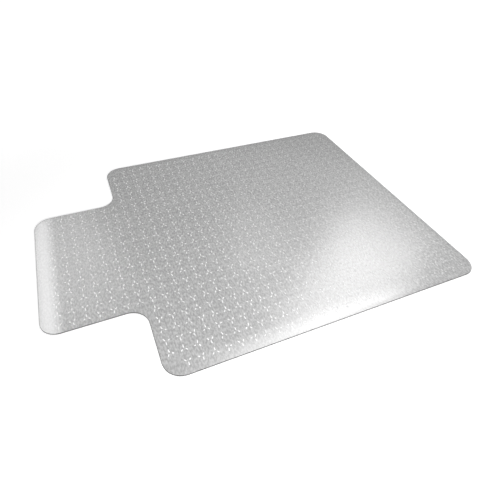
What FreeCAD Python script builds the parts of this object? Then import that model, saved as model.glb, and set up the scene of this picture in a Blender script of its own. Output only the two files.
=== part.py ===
import FreeCAD, Part
import math
import os

from FreeCAD import Vector

# A chair mat with a lip, for carpet. One moulded sheet of clear plastic covers the
# floor under an office chair, and its narrower lip runs in under the desk between
# the drawer units. Short oval grip studs on the underside, set in groups of three,
# press into the carpet and keep the mat where it lies.
#
# Millimetres. +X runs from the lip to the back edge, +Y across the mat, +Z up.
# The origin is the middle of the mat's box, on the floor.

# Outline of the sheet
overall_length = 1219.2        # lip end to back edge
mat_width = 914.4              # side edge to side edge
lip_length = 259.0             # how far the lip stands out from the body
lip_width = 471.0
body_corner_radius = 51.0
lip_corner_radius = 48.0
notch_radius = 50.0            # inner corner between the lip and the body

# Section of the sheet
sheet_thickness = 2.5
edge_round = 0.8               # rounding of the top edge, where casters roll on

# One grip stud: an oval that narrows to its foot
stud_length = 6.2
stud_width = 2.6
stud_height = 1.5
stud_draft = 10.0              # lean of its sides, in degrees

# A group: studs that radiate from a common centre
studs_per_group = 3
stud_reach = 7.0               # group's centre to a stud's middle

# The pattern of groups
column_pitch = 34.4            # along X
row_pitch = 35.3               # along Y
first_column = 44.0            # lip end to the first column
edge_margin = 22.0             # least distance from a group's centre to the outline
point_tolerance = 0.001
group_turns = (30.0, 45.0, 90.0, 15.0)   # a run of columns, in degrees
seam_column = 17               # where the run of the mould's two plates meets
seam_turn = 90.0

lip_end = -overall_length / 2
back_edge = overall_length / 2
side_edge = mat_width / 2
body_front = lip_end + lip_length
lip_side = lip_width / 2
underside = stud_height


def rounding_arc(before, corner, after, radius):
    """The arc that rounds one corner, as its first, middle and last points."""
    back = (before - corner).normalize()
    ahead = (after - corner).normalize()
    half_angle = back.getAngle(ahead) / 2
    reach = radius / math.tan(half_angle)
    inward = (back + ahead).normalize()
    centre = corner + inward * (radius / math.sin(half_angle))
    return corner + back * reach, centre - inward * radius, corner + ahead * reach


def outline_corners():
    """The corners of the outline and their radii, going round from the lip's end."""
    return [
        (Vector(lip_end, -lip_side, 0), lip_corner_radius),
        (Vector(body_front, -lip_side, 0), notch_radius),
        (Vector(body_front, -side_edge, 0), body_corner_radius),
        (Vector(back_edge, -side_edge, 0), body_corner_radius),
        (Vector(back_edge, side_edge, 0), body_corner_radius),
        (Vector(body_front, side_edge, 0), body_corner_radius),
        (Vector(body_front, lip_side, 0), notch_radius),
        (Vector(lip_end, lip_side, 0), lip_corner_radius),
    ]


def outline_face():
    """The flat outline of the body and lip, with rounded corners, at z = 0."""
    corners = outline_corners()
    count = len(corners)
    arcs = []
    for i, (corner, radius) in enumerate(corners):
        before = corners[i - 1][0]
        after = corners[(i + 1) % count][0]
        arcs.append(rounding_arc(before, corner, after, radius))
    edges = []
    for i, (first, middle, last) in enumerate(arcs):
        next_first = arcs[(i + 1) % count][0]
        edges.append(Part.Arc(first, middle, last).toShape())
        edges.append(Part.LineSegment(last, next_first).toShape())
    return Part.Face(Part.Wire(edges))


def mat_sheet(outline):
    """The sheet: body and lip in one piece, its top edge rounded all the way round."""
    blank = outline.translated(Vector(0, 0, underside))
    sheet = blank.extrude(Vector(0, 0, sheet_thickness))
    top = underside + sheet_thickness
    top_edges = [edge for edge in sheet.Edges if edge.BoundBox.ZMin > top - edge_round / 2]
    return sheet.makeFillet(edge_round, top_edges)


def grip_stud():
    """One stud at z = 0 to stud_height: two half cones with a tapered block between them."""
    root_radius = stud_width / 2
    foot_radius = root_radius - stud_height * math.tan(math.radians(stud_draft))
    half_straight = stud_length / 2 - root_radius
    section = Part.makePolygon([
        Vector(-half_straight, -foot_radius, 0),
        Vector(-half_straight, foot_radius, 0),
        Vector(-half_straight, root_radius, stud_height),
        Vector(-half_straight, -root_radius, stud_height),
        Vector(-half_straight, -foot_radius, 0),
    ])
    stud = Part.Face(section).extrude(Vector(2 * half_straight, 0, 0))
    for end, quarter_turn in ((half_straight, -90), (-half_straight, 90)):
        cone = Part.makeCone(foot_radius, root_radius, stud_height, Vector(), Vector(0, 0, 1), 180)
        cone.rotate(Vector(), Vector(0, 0, 1), quarter_turn)
        cone.translate(Vector(end, 0, 0))
        stud = stud.fuse(cone)
    return stud.removeSplitter().Solids[0]


def group_turn(column, row):
    """How far a group is turned: a run of turns along a row, mirrored in every second row."""
    if column == seam_column:
        turn = seam_turn
    elif column > seam_column:
        turn = group_turns[(column - 1) % len(group_turns)]
    else:
        turn = group_turns[column % len(group_turns)]
    return turn if row % 2 == 0 else -turn


def group_places(outline):
    """The centre and turn of every group whose centre lies well inside the outline."""
    inside = outline.makeOffset2D(-edge_margin)
    columns = int((overall_length - first_column) / column_pitch) + 1
    rows = 2 * int(mat_width / 2 / row_pitch) + 1    # odd, so that one row is in the middle
    places = []
    for column in range(columns):
        for row in range(rows):
            x = lip_end + first_column + column * column_pitch
            y = (row - rows // 2) * row_pitch
            centre = Vector(x, y, 0)
            if inside.isInside(centre, point_tolerance, True):
                places.append((centre, group_turn(column, row)))
    return places


def group_studs(stud, place):
    """The studs of one group, evenly spread about its centre and pointing away from it."""
    centre, turn = place
    studs = []
    for arm in range(studs_per_group):
        copy = stud.copy()
        copy.translate(Vector(stud_reach, 0, 0))
        copy.rotate(Vector(), Vector(0, 0, 1), turn + arm * 360 / studs_per_group)
        copy.translate(centre)
        studs.append(copy)
    return studs


def corner_places(places):
    """The group nearest to each of the six corners that stand out."""
    nearest = []
    for x, y in ((lip_end, lip_side), (body_front, side_edge), (back_edge, side_edge)):
        for corner in (Vector(x, -y, 0), Vector(x, y, 0)):
            nearest.append(min(places, key=lambda place: place[0].distanceToPoint(corner)))
    return nearest


def save(name, shape):
    """Write one sub-part and print its number of solids and its volume in cubic centimetres."""
    shape.exportStep("parts/" + name + ".step")
    print(name, len(shape.Solids), round(shape.Volume / 1000, 2))


def main():
    os.makedirs("parts", exist_ok=True)
    outline = outline_face()
    save("mat_sheet", mat_sheet(outline))

    stud = grip_stud()
    places = group_places(outline)
    corners = corner_places(places)
    others = [place for place in places if place not in corners]
    groups = {
        "corner_grip_studs": corners,
        "body_grip_studs": [place for place in others if place[0].x > body_front],
        "lip_grip_studs": [place for place in others if place[0].x <= body_front],
    }
    for name, members in groups.items():
        studs = [copy for place in members for copy in group_studs(stud, place)]
        save(name, Part.makeCompound(studs))


main()
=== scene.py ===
import math

import bmesh
import bpy
from mathutils import Euler, Matrix, Vector, noise


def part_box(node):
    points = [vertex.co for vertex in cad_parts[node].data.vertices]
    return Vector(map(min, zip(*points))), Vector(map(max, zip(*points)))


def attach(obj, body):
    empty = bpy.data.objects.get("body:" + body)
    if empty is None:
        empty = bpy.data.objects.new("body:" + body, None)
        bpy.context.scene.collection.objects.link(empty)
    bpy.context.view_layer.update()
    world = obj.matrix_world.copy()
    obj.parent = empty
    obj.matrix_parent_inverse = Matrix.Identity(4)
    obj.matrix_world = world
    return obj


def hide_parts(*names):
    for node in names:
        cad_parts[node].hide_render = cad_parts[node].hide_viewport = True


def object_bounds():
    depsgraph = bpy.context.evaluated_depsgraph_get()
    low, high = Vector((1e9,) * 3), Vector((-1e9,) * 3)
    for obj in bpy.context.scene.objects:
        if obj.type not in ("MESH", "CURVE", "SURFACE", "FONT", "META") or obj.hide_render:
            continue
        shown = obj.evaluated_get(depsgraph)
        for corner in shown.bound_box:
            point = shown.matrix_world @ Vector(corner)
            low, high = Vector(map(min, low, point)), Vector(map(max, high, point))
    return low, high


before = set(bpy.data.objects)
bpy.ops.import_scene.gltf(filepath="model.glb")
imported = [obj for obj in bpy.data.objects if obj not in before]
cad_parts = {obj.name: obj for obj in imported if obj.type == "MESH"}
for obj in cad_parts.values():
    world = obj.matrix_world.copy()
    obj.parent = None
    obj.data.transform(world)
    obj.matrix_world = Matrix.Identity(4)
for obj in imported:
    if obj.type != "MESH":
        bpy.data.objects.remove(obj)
cad_low, cad_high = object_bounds()

# A clear chair mat with a lip: one frosted sheet with a pebbled top, and short oval
# studs under it in groups of three. The sheet is opaque here, so low pale ovals on its
# top stand for the studs that show through a clear one; their paleness is a painted glint.
# Metres, in the mat's own frame: +X from the lip to the back edge, +Y across, +Z up,
# with the origin on the floor under the middle of its box.

MM = 0.001

# The sheet's outline inside its box
LIP_LENGTH = 259 * MM
LIP_WIDTH = 471 * MM
BODY_CORNER = 51 * MM
LIP_CORNER = 48 * MM
NOTCH_CORNER = 50 * MM
CORNER_STEPS = 12

# The sheet's section
EDGE_ROUND = 0.9 * MM
EDGE_STEPS = 3
FLAT_NORMAL = 0.98             # a face whose normal's z is beyond this isn't part of the edge
WAVE_CELL = 16 * MM            # spacing of the cuts that let the top undulate
WAVE_HEIGHT = 0.05 * MM
WAVE_LENGTH = 150 * MM

# Studs, and the pale ovals where they show through the top; the ovals' paleness is a painted glint
STUD_SIDES = 12
STUD_SHOULDER_SHARE = 0.8      # its size where the foot's rounding begins, as a share of the root's
STUD_TIP_SHARE = 0.45          # and at its lowest
STUD_ROUNDING = 0.3            # height of that rounding as a share of the stud's
OVAL_RISE = 0.15 * MM
OVAL_ROOT = 2 * OVAL_RISE      # how far below the ovals' crowns their lower faces lie
OVAL_ALONG = 0.85              # an oval's size as a share of the stud's root: along the mat,
OVAL_ACROSS = 1.2              # and across it, where the studs show more
OVAL_BRIM_SHARE = 0.72         # size of an oval's crown as a share of its rim's
OVAL_DRAW = (0.88, 1.35)       # the ovals are drawn out across the mat, as its grain is

MERGE = 0.001 * MM


# ---------------------------------------------------------------- meshes

def finish_piece(name, bm, materials, node=None, slot=None):
    """Make an object of a bmesh, give it its materials and let it ride on the mat."""
    mesh = bpy.data.meshes.new(name)
    bm.to_mesh(mesh)
    bm.free()
    for material in materials:
        mesh.materials.append(material)
    piece = bpy.data.objects.new(name, mesh)
    bpy.context.scene.collection.objects.link(piece)
    if slot:
        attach(piece, "root")
    if node:
        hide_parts(node)
    return piece


def outline_corners(low, high):
    """The outline's corners and their radii, going round from the lip's end."""
    lip_side = LIP_WIDTH / 2
    front = low.x + LIP_LENGTH
    half = [
        (low.x, lip_side, LIP_CORNER),
        (front, lip_side, NOTCH_CORNER),
        (front, high.y, BODY_CORNER),
        (high.x, high.y, BODY_CORNER),
    ]
    return [(x, -y, radius) for x, y, radius in half] + half[::-1]


def sheet_top(low, high):
    """The flat top of the sheet, below the ovals' crowns: one face with rounded corners."""
    bm = bmesh.new()
    corners = outline_corners(low, high)
    verts = [bm.verts.new((x, y, high.z - OVAL_RISE)) for x, y, radius in corners]
    bm.faces.new(verts)
    for vert, (x, y, radius) in zip(verts, corners):
        bmesh.ops.bevel(bm, geom=[vert], offset=radius, segments=CORNER_STEPS, profile=0.5,
                        affect="VERTICES", material=-1)
    return bm


def cut_across(bm, axis, start, end, spacing):
    """Cut every face by evenly spaced planes across one axis."""
    count = round((end - start) / spacing)
    normal = Vector((axis == 0, axis == 1, 0))
    for i in range(1, count):
        place = normal * (start + (end - start) * i / count)
        geometry = bm.verts[:] + bm.edges[:] + bm.faces[:]
        bmesh.ops.bisect_plane(bm, geom=geometry, plane_co=place, plane_no=normal, dist=MERGE)


def clear_sheet(materials):
    """The sheet: a plate whose top edge is rounded and whose top undulates very slightly."""
    low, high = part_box("mat_sheet")
    level = high.z - OVAL_RISE
    bm = sheet_top(low, high)
    underside = bmesh.ops.extrude_face_region(bm, geom=bm.faces[:])["geom"]
    lower = [item for item in underside if isinstance(item, bmesh.types.BMVert)]
    bmesh.ops.translate(bm, verts=lower, vec=(0, 0, low.z - level))
    bmesh.ops.recalc_face_normals(bm, faces=bm.faces)
    rim = [edge for edge in bm.edges if all(vert.co.z > level - MERGE for vert in edge.verts)]
    bmesh.ops.bevel(bm, geom=rim, offset=EDGE_ROUND, segments=EDGE_STEPS, profile=0.5,
                    affect="EDGES", material=-1)
    cut_across(bm, 0, low.x, high.x, WAVE_CELL)
    cut_across(bm, 1, low.y, high.y, WAVE_CELL)
    for vert in bm.verts:
        if vert.co.z > level - MERGE:
            wave = noise.noise(vert.co / WAVE_LENGTH) - 1
            vert.co.z += wave * WAVE_HEIGHT / 2
    for face in bm.faces:
        face.material_index = 0 if abs(face.normal.z) > FLAT_NORMAL else 1
        face.smooth = True
    return finish_piece("clear_sheet", bm, materials, "mat_sheet", "sheet_plastic")


def stud_places(node):
    """Each stud's middle, direction, length and width, from the separate solids of a node."""
    bm = bmesh.new()
    bm.from_mesh(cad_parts[node].data)
    bmesh.ops.remove_doubles(bm, verts=bm.verts, dist=MERGE)
    seen = set()
    places = []
    for start in bm.verts:
        if start in seen:
            continue
        seen.add(start)
        island = [start]
        for vert in island:
            for edge in vert.link_edges:
                other = edge.other_vert(vert)
                if other not in seen:
                    seen.add(other)
                    island.append(other)
        places.append(stud_place([vert.co.copy() for vert in island]))
    bm.free()
    return places


def stud_place(points):
    """The middle, direction, length and width of one stud, from its corners."""
    far_end = max(points, key=lambda point: (point.xy - points[0].xy).length)
    near_end = max(points, key=lambda point: (point.xy - far_end.xy).length)
    along = (far_end.xy - near_end.xy).normalized()
    across = Vector((-along.y, along.x))
    spans = []
    for direction in (along, across):
        reach = [point.xy.dot(direction) for point in points]
        spans.append((min(reach), max(reach)))
    middle = along * sum(spans[0]) / 2 + across * sum(spans[1]) / 2
    length, width = (end - start for start, end in spans)
    return middle, math.atan2(along.y, along.x), length, width


def oval(bm, length, width, height):
    """A flat oval face: a round one pulled apart at its middle."""
    turn = Matrix.Rotation(math.pi / STUD_SIDES, 4, "Z")
    made = bmesh.ops.create_circle(bm, cap_ends=True, segments=STUD_SIDES, radius=width / 2,
                                   matrix=turn)
    for vert in made["verts"]:
        vert.co.x += math.copysign((length - width) / 2, vert.co.x)
        vert.co.z = height
    return next(iter(bm.faces))


def inset_oval(bm, face, length, width, share, rise):
    """Extrude an oval's face by a step and draw its rim in evenly all round."""
    drawn = bmesh.ops.extrude_face_region(bm, geom=[face, *face.edges])["geom"]
    verts = [item for item in drawn if isinstance(item, bmesh.types.BMVert)]
    half_straight = (length - width) / 2
    for vert in verts:
        centre = math.copysign(half_straight, vert.co.x)
        vert.co.x = centre + (vert.co.x - centre) * share
        vert.co.y *= share
        vert.co.z += rise
    return next(item for item in drawn if isinstance(item, bmesh.types.BMFace))


def stud_shape(length, width, root, foot):
    """A stud from the sheet's underside down to its rounded foot."""
    bm = bmesh.new()
    face = oval(bm, length, width, root)
    height = foot - root
    sides, rounding = height * (1 - STUD_ROUNDING), height * STUD_ROUNDING
    face = inset_oval(bm, face, length, width, STUD_SHOULDER_SHARE, sides)
    inset_oval(bm, face, length, width, STUD_TIP_SHARE / STUD_SHOULDER_SHARE, rounding)
    bmesh.ops.recalc_face_normals(bm, faces=bm.faces)
    return bm


def oval_shape(length, width, root, crown):
    """The low pale dome that shows on the sheet's top over a stud."""
    bm = bmesh.new()
    face = oval(bm, length, width, root)
    face = inset_oval(bm, face, length, width, 1, OVAL_RISE / 2)
    inset_oval(bm, face, length, width, OVAL_BRIM_SHARE, crown - root - OVAL_RISE / 2)
    bmesh.ops.recalc_face_normals(bm, faces=bm.faces)
    return bm


def stud_moves(places):
    """Where each stud stands: on its middle, turned to lie along its length."""
    return [Matrix.Translation(middle.to_3d()) @ Matrix.Rotation(turn, 4, "Z")
            for middle, turn, length, width in places]


def oval_moves(places):
    """Where each oval stands: over its stud, sized by its turn and then drawn out."""
    stretch = Matrix.Diagonal((*OVAL_DRAW, 1, 1))
    moves = []
    for middle, turn, length, width in places:
        size = OVAL_ALONG + (OVAL_ACROSS - OVAL_ALONG) * abs(math.sin(turn))
        shape = Matrix.Rotation(turn, 4, "Z") @ Matrix.Diagonal((size, size, 1, 1))
        moves.append(Matrix.Translation(middle.to_3d()) @ stretch @ shape)
    return moves


def repeat(shape, moves):
    """Copies of one shape, one for each of the moves."""
    template = bpy.data.meshes.new("template")
    shape.to_mesh(template)
    shape.free()
    bm = bmesh.new()
    for move in moves:
        template.transform(move)
        bm.from_mesh(template)
        template.transform(move.inverted())
    bpy.data.meshes.remove(template)
    for face in bm.faces:
        face.smooth = True
    return bm


def studs_of(node, name, stud_material, oval_material):
    """The studs of one node, and the ovals that show above them."""
    low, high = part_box(node)
    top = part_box("mat_sheet")[1].z
    places = stud_places(node)
    length = sum(place[2] for place in places) / len(places)
    width = sum(place[3] for place in places) / len(places)
    studs = repeat(stud_shape(length, width, high.z, low.z), stud_moves(places))
    finish_piece(name + "_studs", studs, [stud_material], node, "stud_plastic")
    ovals = repeat(oval_shape(length, width, top - OVAL_ROOT, top), oval_moves(places))
    finish_piece(name + "_ovals", ovals, [oval_material], None, "stud_plastic")


# ---------------------------------------------------------------- materials

PLASTIC_IOR = 1.5

# Grain of the sheet's top
GRAIN_SIZE = 4.5 * MM
GRAIN_STRETCH = 0.5            # the grain is longer across the mat than along it
PEBBLE_SIZE = 3.4 * MM
FLECK_SIZE = 9 * MM
CLOUD_SIZE = 140 * MM
CLOUD_SHARE = 0.12

# Shares are how much of its colour a band, the far corner or the fade takes at its most
# The lip and side bands are painted highlights: pale glare on the sheet put into its colour.
LIP_GLARE = (12 * MM, 56 * MM)  # full up to the first, and gone at the second, from the lip's end
LIP_GLARE_SHARE = 0.85
SIDE_GLARE = (-5 * MM, 55 * MM)  # the same, from the near side
SIDE_GLARE_SHARE = 0.42
SIDE_GLARE_RISE = (-0.32, -0.10)  # x where the side band comes in
SIDE_GLARE_FALL = (0.25, 0.42)  # and where it goes
BAND_RAGGED = 20 * MM          # how far the flecks push a band's limit
# The far corner is darkened with painted shade.
FAR_SLANT = 0.7                # the dark far corner is where x times this, plus y, is high
FAR_REACH = (0.4, 0.85)
FAR_SHARE = 0.4
# The fade takes down the ovals' painted glint.
OVAL_FADE = (-0.2, 0.4)        # x where the ovals' fade begins and ends
OVAL_FADE_SHARE = 0.75


class Value:
    """A number in a shader: a socket, or what becomes of it in an expression."""

    def __init__(self, shader, socket):
        self.shader = shader
        self.socket = socket

    def maths(self, operation, first, second):
        node = self.shader.node("ShaderNodeMath", {"operation": operation}, {0: first, 1: second})
        return Value(self.shader, node.outputs[0])

    def __add__(self, other):
        return self.maths("ADD", self, other)

    __radd__ = __add__

    def __sub__(self, other):
        return self.maths("SUBTRACT", self, other)

    def __rsub__(self, other):
        return self.maths("SUBTRACT", other, self)

    def __mul__(self, other):
        return self.maths("MULTIPLY", self, other)

    __rmul__ = __mul__


class Shader:
    """A material under construction."""

    def __init__(self, name):
        self.material = bpy.data.materials.new(name)
        self.material.use_nodes = True
        self.tree = self.material.node_tree
        self.tree.nodes.clear()
        self.output = self.node("ShaderNodeOutputMaterial")
        self.place = self.node("ShaderNodeTexCoord").outputs["Object"]

    def node(self, kind, settings=None, inputs=None):
        """Add a node: its settings first, then the values or links of its sockets."""
        node = self.tree.nodes.new(kind)
        for name, value in (settings or {}).items():
            setattr(node, name, value)
        for key, value in (inputs or {}).items():
            if isinstance(value, Value):
                value = value.socket
            if isinstance(value, bpy.types.NodeSocket):
                self.tree.links.new(value, node.inputs[key])
            else:
                node.inputs[key].default_value = value
        return node

    def value(self, node, output=0):
        return Value(self, node.outputs[output])

    def noise(self, size, detail=2.0, roughness=0.5, place=None):
        """Soft noise from 0 to 1 whose blobs are about this size."""
        inputs = {"Vector": place or self.place, "Scale": 1 / size, "Detail": detail,
                  "Roughness": roughness}
        return self.value(self.node("ShaderNodeTexNoise", None, inputs), "Fac")

    def pebbles(self, size, place):
        """Rounded cells of about this size: 0 in their middles."""
        settings = {"feature": "SMOOTH_F1"}
        inputs = {"Vector": place, "Scale": 1 / size, "Smoothness": 0.6}
        return self.value(self.node("ShaderNodeTexVoronoi", settings, inputs), "Distance")

    def ramp(self, value, low, high, start=0.0, end=1.0):
        """Move a value smoothly from start to end as it goes from low to high."""
        settings = {"interpolation_type": "SMOOTHSTEP"}
        inputs = {"Value": value, "From Min": low, "From Max": high, "To Min": start, "To Max": end}
        return self.value(self.node("ShaderNodeMapRange", settings, inputs), 0)

    def blend(self, factor, first, second):
        """A colour between two others."""
        settings = {"data_type": "RGBA", "clamp_factor": True}
        return self.node("ShaderNodeMix", settings, {0: factor, 6: first, 7: second}).outputs[2]

    def bump(self, height, distance, strength):
        inputs = {"Height": height, "Distance": distance, "Strength": strength}
        return self.node("ShaderNodeBump", None, inputs).outputs["Normal"]

    def plastic(self, inputs):
        """Close the material with a Principled shader."""
        shader = self.node("ShaderNodeBsdfPrincipled", None, inputs)
        self.tree.links.new(shader.outputs[0], self.output.inputs["Surface"])
        return self.material


def grey(level):
    return (level, level, level, 1.0)


def frosted_top():
    """Frosted sheet: a drawn-out pebble grain, paler bands along the lip's end and part of
    the near side that are painted highlights, and a far back corner darkened by painted shade."""
    shader = Shader("frosted_top")
    along = shader.node("ShaderNodeVectorMath", {"operation": "MULTIPLY"},
                        {0: shader.place, 1: (1, GRAIN_STRETCH, 1)}).outputs[0]
    split = shader.node("ShaderNodeSeparateXYZ", None, {0: shader.place})
    x, y = shader.value(split, 0), shader.value(split, 1)
    cloud = shader.noise(CLOUD_SIZE, 3)
    grain = shader.noise(GRAIN_SIZE, 2, 0.6, along)
    pebble = shader.pebbles(PEBBLE_SIZE, along)
    ragged = shader.noise(FLECK_SIZE, 3, 0.6, along) * BAND_RAGGED
    colour = shader.blend(shader.ramp(grain, 0.3, 0.7), grey(0.32), grey(0.48))
    colour = shader.blend(shader.ramp(cloud, 0.3, 0.7, 0.0, CLOUD_SHARE), colour, grey(0.30))
    # Painted shade: the far back corner is darkened in colour.
    far_painted_shade = shader.ramp(x * FAR_SLANT + y, *FAR_REACH, 0.0, FAR_SHARE)
    colour = shader.blend(far_painted_shade, colour, grey(0.24))
    # Painted highlights: pale bands of glare along the lip's end and part of the near side.
    lip_limits = [cad_low.x + reach for reach in LIP_GLARE]
    lip_painted_glare = shader.ramp(x - ragged, *lip_limits, 1.0, 0.0)
    side_limits = [cad_low.y + reach for reach in SIDE_GLARE]
    side_painted_glare = shader.ramp(y - ragged, *side_limits, SIDE_GLARE_SHARE, 0.0)
    side_glare_reach = shader.ramp(x, *SIDE_GLARE_RISE) * shader.ramp(x, *SIDE_GLARE_FALL, 1.0, 0.0)
    colour = shader.blend(lip_painted_glare * LIP_GLARE_SHARE, colour, grey(0.76))
    colour = shader.blend(side_painted_glare * side_glare_reach, colour, grey(0.80))
    return shader.plastic({
        "Base Color": colour,
        "Roughness": shader.ramp(grain + pebble * 0.5, 0.3, 1.0, 0.2, 0.3),
        "IOR": PLASTIC_IOR,
        "Normal": shader.bump(grain + pebble * 0.8, 0.25 * MM, 0.3),
    })


def cut_edge_painted_shade():
    """The sheet's rounded edge and wall: smooth, and painted nearly black as shade for the dark line
    along the clear edge.
    """
    shader = Shader("cut_edge_painted_shade")
    grain = shader.noise(4 * MM, 2)
    # Painted shade: the near-black base colour draws the dark line of the clear edge.
    return shader.plastic({
        "Base Color": shader.blend(grain, grey(0.01), grey(0.03)),
        "Roughness": shader.ramp(grain, 0.2, 0.8, 0.3, 0.45),
        "IOR": PLASTIC_IOR,
        "Normal": shader.bump(grain, 0.05 * MM, 0.4),
    })


def stud_finish():
    """The studs: smooth, pale and glossy."""
    shader = Shader("stud_finish")
    grain = shader.noise(1.2 * MM, 2)
    return shader.plastic({
        "Base Color": shader.blend(grain, grey(0.62), grey(0.78)),
        "Roughness": shader.ramp(grain, 0.2, 0.8, 0.18, 0.32),
        "IOR": PLASTIC_IOR,
        "Normal": shader.bump(grain, 0.05 * MM, 0.5),
    })


def oval_glint_paint():
    """The pale ovals over the studs: their paleness is a painted glint, the light the studs catch
    under a clear sheet, painted weaker and weaker towards the back edge.
    """
    shader = Shader("oval_glint_paint")
    x = shader.value(shader.node("ShaderNodeSeparateXYZ", None, {0: shader.place}), 0)
    patch = shader.noise(60 * MM, 2)
    grain = shader.noise(1.5 * MM, 2)
    # Painted glint: the ovals' pale colour, faded towards the back edge below.
    colour = shader.blend(shader.ramp(patch, 0.3, 0.7), grey(0.74), grey(0.90))
    colour = shader.blend(shader.ramp(x, *OVAL_FADE, 0.0, OVAL_FADE_SHARE), colour, grey(0.5))
    return shader.plastic({
        "Base Color": shader.blend(grain * 0.2, colour, grey(0.6)),
        "Roughness": shader.ramp(grain, 0.2, 0.8, 0.2, 0.35),
        "IOR": PLASTIC_IOR,
        "Normal": shader.bump(grain, 0.05 * MM, 0.4),
    })


# ---------------------------------------------------------------- studio

FLOOR_SIZE = 40
FLOOR_TONE = 0.8
FLOOR_LIFT = (0.28, 1.0)       # what the floor adds, near the mat and far from it, where it is seen
FLOOR_LIFT_REACH = (0.6, 2.5)  # distances from the mat's middle between which that grows


def seen_by_eye(shader):
    """1 for rays that show the background: from the camera, a reflection or through glass."""
    path = shader.node("ShaderNodeLightPath")
    camera_ray, glossy, through = (
        shader.value(path, name)
        for name in ("Is Camera Ray", "Is Glossy Ray", "Is Transmission Ray"))
    return camera_ray + glossy + through


def studio_floor():
    """A plain white floor that keeps the mat's shadow."""
    bm = bmesh.new()
    bmesh.ops.create_grid(bm, x_segments=1, y_segments=1, size=FLOOR_SIZE / 2)
    shader = Shader("studio_floor")
    tone = shader.noise(0.4, 2)
    diffuse = shader.node("ShaderNodeBsdfDiffuse", None,
                          {"Color": shader.blend(tone, grey(FLOOR_TONE), grey(FLOOR_TONE + 0.01))})
    away = shader.node("ShaderNodeVectorMath", {"operation": "LENGTH"}, {0: shader.place})
    glow = shader.ramp(shader.value(away, 1), *FLOOR_LIFT_REACH, *FLOOR_LIFT)
    lift = shader.node("ShaderNodeEmission", None,
                       {"Color": grey(1), "Strength": seen_by_eye(shader) * glow})
    both = shader.node("ShaderNodeAddShader", None, {0: diffuse.outputs[0], 1: lift.outputs[0]})
    shader.tree.links.new(both.outputs[0], shader.output.inputs["Surface"])
    finish_piece("floor", bm, [shader.material])


LAMP_DISTANCE = 2.4
LAMPS = {
    # name: (elevation, azimuth, width, height, power)
    "key": (51, 27, 0.75, 1.4, 35),
    "key_side": (47, 60, 0.5, 0.5, 2.5),
    "near_fill": (25, 260, 0.9, 0.9, 80),
    "far_fill": (40, 118, 0.9, 0.9, 9),
}


def softbox(name, elevation, azimuth, width, height, power):
    """A lamp that points at the mat from a direction given in degrees."""
    light = bpy.data.lights.new(name, "AREA")
    light.shape = "RECTANGLE"
    light.size = width
    light.size_y = height
    light.energy = power
    lamp = bpy.data.objects.new(name, light)
    bpy.context.scene.collection.objects.link(lamp)
    up, round_z = math.radians(elevation), math.radians(azimuth)
    away = Vector((math.cos(up) * math.cos(round_z), math.cos(up) * math.sin(round_z), math.sin(up)))
    lamp.location = away * LAMP_DISTANCE
    lamp.rotation_euler = away.to_track_quat("Z", "Y").to_euler()


def white_surroundings():
    """A world that looks white above the floor and adds no light of its own."""
    world = bpy.data.worlds.new("studio")
    world.use_nodes = True
    nodes = world.node_tree.nodes
    path = nodes.new("ShaderNodeLightPath")
    background = nodes["Background"]
    background.inputs["Color"].default_value = grey(1)
    world.node_tree.links.new(path.outputs["Is Camera Ray"], background.inputs["Strength"])
    return world


def studio():
    """Floor, lamps, white surroundings and the view transform."""
    scene = bpy.context.scene
    studio_floor()
    for name, settings in LAMPS.items():
        softbox(name, *settings)
    scene.world = white_surroundings()
    scene.view_settings.view_transform = "Standard"


def camera():
    """The view: from beside the mat's near side, looking down and across it."""
    data = bpy.data.cameras.new("camera")
    data.sensor_width = 36
    data.lens = 27.66
    data.shift_x = 0.02
    data.shift_y = -0.014
    eye = bpy.data.objects.new("camera", data)
    eye.location = (-0.379, -0.889, 0.840)
    eye.rotation_euler = Euler([math.radians(angle) for angle in (46.14, -1.77, -22.60)])
    bpy.context.scene.collection.objects.link(eye)
    bpy.context.scene.camera = eye


def build():
    """The sheet, then the studs and ovals of each group."""
    stud_material = stud_finish()
    oval_material = oval_glint_paint()
    clear_sheet([frosted_top(), cut_edge_painted_shade()])
    for part in ("corner", "body", "lip"):
        studs_of(part + "_grip_studs", part, stud_material, oval_material)


build()
studio()
camera()
